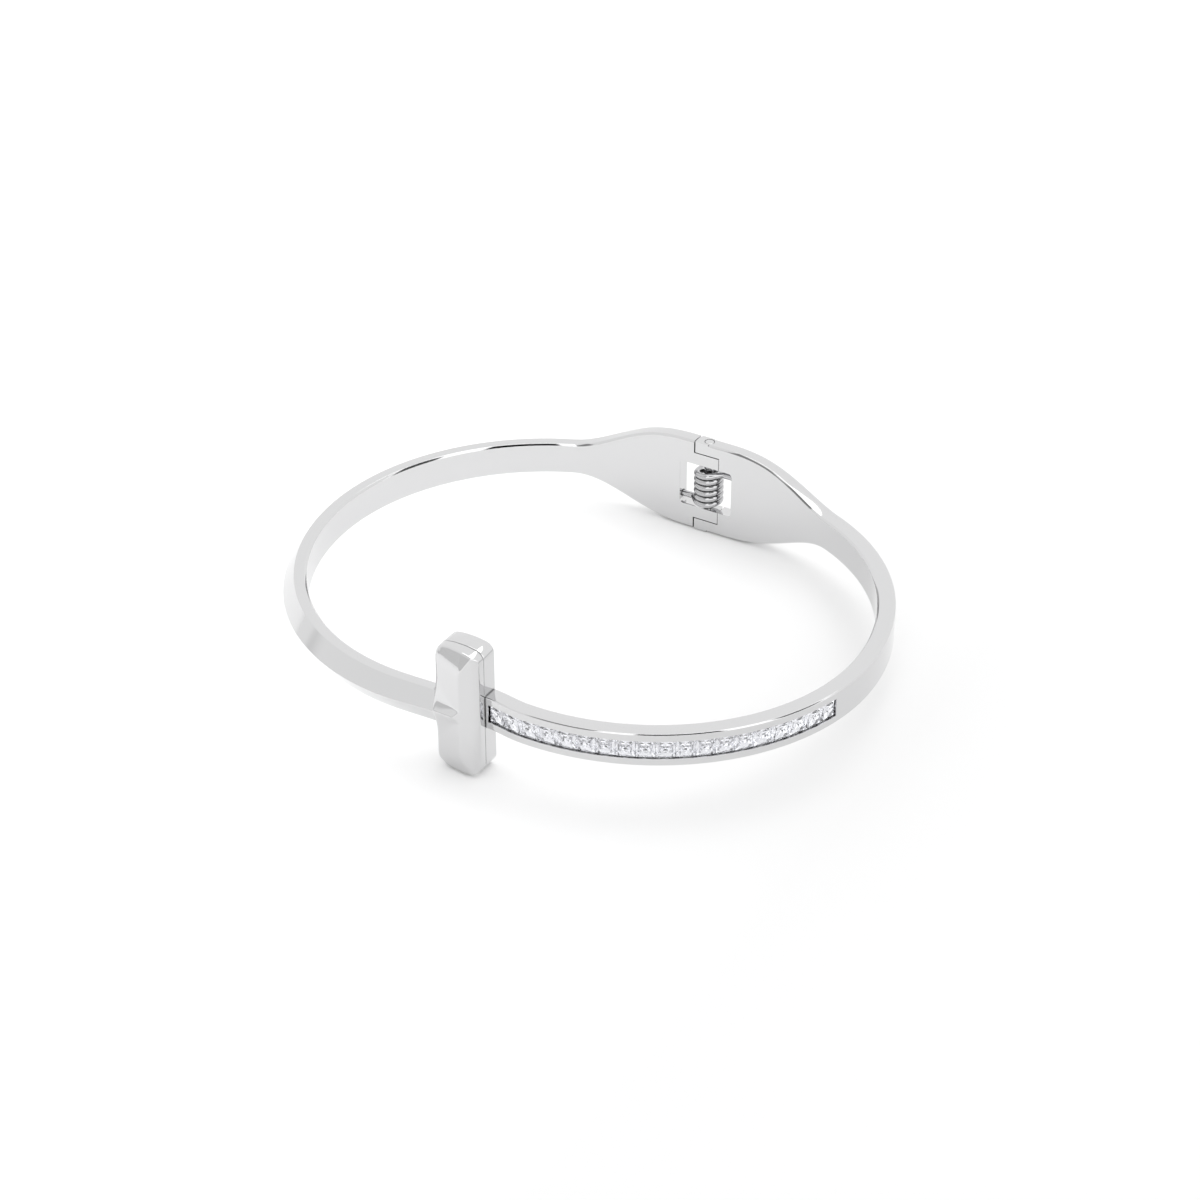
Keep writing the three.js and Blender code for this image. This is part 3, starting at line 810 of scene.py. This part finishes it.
def steel(name, color, rough, scratch, edge):
    """Polished steel: polishing marks, slow changes of polish, soft edges, and painted shade that darkens its
    colour in narrow gaps and hollows.
    """
    material, nodes, links, shader = new_material(name)
    # Painted shade: ambient occlusion darkens the base colour where gaps and hollows would be in shade.
    crevice_shade = nodes.new("ShaderNodeAmbientOcclusion")
    crevice_shade.samples = 6
    crevice_shade.inputs["Distance"].default_value = CREVICE_SHADE_REACH * MM
    shaded_base = nodes.new("ShaderNodeMix")
    shaded_base.data_type = "RGBA"
    links.new(ramp(nodes, links, crevice_shade.outputs["AO"], CREVICE_SHADE_RANGE), shaded_base.inputs["Factor"])
    shaded_base.inputs["A"].default_value = CREVICE_SHADE_TONE
    shaded_base.inputs["B"].default_value = (*color, 1)
    links.new(shaded_base.outputs["Result"], shader.inputs["Base Color"])
    shader.inputs["Metallic"].default_value = 1
    haze = add_noise(nodes, links, scale=900, detail=3)
    links.new(ramp(nodes, links, haze.outputs["Fac"], (0, 1), rough), shader.inputs["Roughness"])
    marks = add_noise(nodes, links, scale=2600, detail=4, stretch=(1, 1, 0.15))
    bump = nodes.new("ShaderNodeBump")
    bump.inputs["Strength"].default_value = scratch
    bump.inputs["Distance"].default_value = 0.00002
    links.new(marks.outputs["Fac"], bump.inputs["Height"])
    soft = nodes.new("ShaderNodeBevel")
    soft.samples = 4
    soft.inputs["Radius"].default_value = edge * MM
    links.new(soft.outputs["Normal"], bump.inputs["Normal"])
    links.new(bump.outputs["Normal"], shader.inputs["Normal"])
    return material


def crystal():
    """Clear cut stone."""
    material, nodes, links, shader = new_material("clear_crystal")
    shader.inputs["Base Color"].default_value = (0.97, 0.98, 1, 1)
    shader.inputs["Roughness"].default_value = 0
    shader.inputs["IOR"].default_value = 1.9
    shader.inputs["Transmission Weight"].default_value = 1
    return material


def foil_back():
    """The bright foil behind a stone's lower facets."""
    material, _, _, shader = new_material("stone_foil")
    shader.inputs["Base Color"].default_value = (0.93, 0.93, 0.94, 1)
    shader.inputs["Metallic"].default_value = 1
    shader.inputs["Roughness"].default_value = 0.06
    return material


# ---------- Assembly ----------

polished = steel("polished_steel", STEEL_TONE, rough=(0.03, 0.09), scratch=0.03, edge=0.05)
sprung = steel("spring_wire_steel", SPRING_TONE, rough=(0.03, 0.07), scratch=0.05, edge=0.02)
clear = crystal()
foil = foil_back()


def place(piece, body, node, slot, material, sharp_angle=32):
    """Gives a piece its material, and says what it rides on and which node it replaces."""
    piece.data.materials.clear()
    piece.data.materials.append(material)
    if sharp_angle:
        polish(piece, sharp_angle)
    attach(piece, body)
    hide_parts(node)


place(make_left_arm(), "knife_edge_half", "left_arm", "polished_steel", polished)
place(make_front_plate(), "knife_edge_half", "front_bar_plate", "polished_steel", polished)
place(make_right_arm(), "stone_half", "right_arm", "polished_steel", polished)
place(make_back_plate(), "stone_half", "back_bar_plate", "polished_steel", polished)
place(make_pin(), "stone_half", "hinge_pin", "polished_steel", polished)
place(make_spring(), "stone_half", "torsion_spring", "spring_steel", sprung)
for number in range(STONE_COUNT):
    stone = make_stone(number)
    place(stone, "stone_half", f"stone_{number + 1:02d}", "clear_stone", clear, sharp_angle=None)
    stone.data.materials.append(foil)
    for face in list(stone.data.polygons)[FIRST_PAVILION_FACE:]:
        face.material_index = 1


# ---------- Studio ----------

def make_floor():
    """A pale table, tilted so that the crossbar's foot and the hinge plates both stand on it."""
    size = 3.0
    mesh = bpy.data.meshes.new("floor")
    corners = [(-size, -size, 0), (size, -size, 0), (size, size, 0), (-size, size, 0)]
    mesh.from_pydata(corners, [], [(0, 1, 2, 3)])
    floor = link("floor", mesh)
    front = (-RIGHT["bar_front"], -BAR_HALF_HEIGHT)
    back = (PIN_Y, -PLATE_HALF_HEIGHT)
    tilt = math.atan2(back[1] - front[1], back[0] - front[0])
    floor.rotation_euler = (tilt, 0, 0)
    floor.location = Vector((0, front[0] * MM, front[1] * MM - FLOOR_GAP)) + SHIFT
    material, nodes, links, shader = new_material("pale_floor")
    across = nodes.new("ShaderNodeTexCoord")
    split = nodes.new("ShaderNodeSeparateXYZ")
    links.new(across.outputs["Object"], split.inputs["Vector"])
    # Painted shade: the floor's colour darkens from left to right, so the steel on the right mirrors a dimmer
    # floor.
    tone = ramp(nodes, links, split.outputs["X"], FLOOR_SHADE_FADE, FLOOR_SHADE_TONES)
    links.new(tone, shader.inputs["Base Color"])
    shader.inputs["Emission Color"].default_value = (1, 1, 1, 1)
    shader.inputs["Emission Strength"].default_value = FLOOR_GLOW
    shader.inputs["Roughness"].default_value = 0.9
    shader.inputs["Specular IOR Level"].default_value = 0.1
    mesh.materials.append(material)


def area_light(name, location, target, size, power):
    light = bpy.data.lights.new(name, "AREA")
    light.shape = "RECTANGLE"
    light.size = size[0]
    light.size_y = size[1]
    light.energy = power
    lamp = bpy.data.objects.new(name, light)
    lamp.location = location
    lamp.rotation_euler = (Vector(target) - Vector(location)).to_track_quat("-Z", "Y").to_euler()
    bpy.context.scene.collection.objects.link(lamp)


def add_band(nodes, links, place, below, azimuths, elevations, soft, tone):
    """A patch of one tone in the surroundings, between two azimuths and two elevations in degrees."""
    split = nodes.new("ShaderNodeSeparateXYZ")
    links.new(place.outputs["Generated"], split.inputs["Vector"])
    around = calculate(nodes, links, "ARCTAN2", split.outputs["X"], split.outputs["Y"])
    height = calculate(nodes, links, "ARCSINE", split.outputs["Z"])
    inside = []
    for source, (low, high) in ((around, azimuths), (height, elevations)):
        middle = math.radians((low + high) / 2)
        half = math.radians((high - low) / 2)
        away = calculate(nodes, links, "ABSOLUTE", calculate(nodes, links, "SUBTRACT", source, middle))
        reach = (half + math.radians(soft), half - math.radians(soft))
        inside.append(ramp(nodes, links, away, reach, shape="SMOOTHSTEP"))
    amount = calculate(nodes, links, "MULTIPLY", *inside)
    blend = nodes.new("ShaderNodeMix")
    blend.data_type = "FLOAT"
    links.new(amount, blend.inputs["Factor"])
    links.new(below, blend.inputs["A"])
    blend.inputs["B"].default_value = tone
    return blend.outputs["Result"]


def make_world():
    """A pale tent, a little brighter behind, with the bands that the steel mirrors."""
    world = bpy.data.worlds.new("studio")
    world.use_nodes = True
    bpy.context.scene.world = world
    nodes, links = world.node_tree.nodes, world.node_tree.links
    place = nodes.new("ShaderNodeTexCoord")
    split = nodes.new("ShaderNodeSeparateXYZ")
    links.new(place.outputs["Generated"], split.inputs["Vector"])
    result = ramp(nodes, links, split.outputs["Y"], DEPTH_RANGE, (FRONT_TONE, BACK_TONE))
    for band in BANDS:
        result = add_band(nodes, links, place, result, *band)
    background = nodes["Background"]
    background.inputs["Strength"].default_value = 1
    links.new(result, background.inputs["Color"])


make_floor()
make_world()
area_light("overhead", location=(0.05, 0.2, 0.6), target=(0, 0, 0), size=(0.5, 0.5), power=1.0)


def make_camera():
    """The photo's viewing angle: 30.8 degrees round from the front and 33.1 degrees above."""
    azimuth = math.radians(30.76)
    elevation = math.radians(33.06)
    distance = 305.34  # mm
    aside = (-0.883, 0.774)  # mm, of the bangle's middle from the line of sight
    level = math.cos(elevation)
    ahead = Vector((-math.sin(azimuth) * level, math.cos(azimuth) * level, -math.sin(elevation)))
    right = Vector((math.cos(azimuth), math.sin(azimuth), 0))
    up = right.cross(ahead)
    data = bpy.data.cameras.new("camera")
    data.sensor_width = 36
    data.lens = 91.26
    data.clip_start = 0.01
    data.clip_end = 10
    camera = bpy.data.objects.new("camera", data)
    camera.location = (-aside[0] * right - aside[1] * up - distance * ahead) * MM + SHIFT
    camera.rotation_euler = Matrix((right, up, -ahead)).transposed().to_euler()
    bpy.context.scene.collection.objects.link(camera)
    bpy.context.scene.camera = camera


make_camera()
bpy.context.scene.view_settings.view_transform = "Standard"
bpy.context.scene.cycles.max_bounces = 24
bpy.context.scene.cycles.transmission_bounces = 16
bpy.context.scene.cycles.glossy_bounces = 12
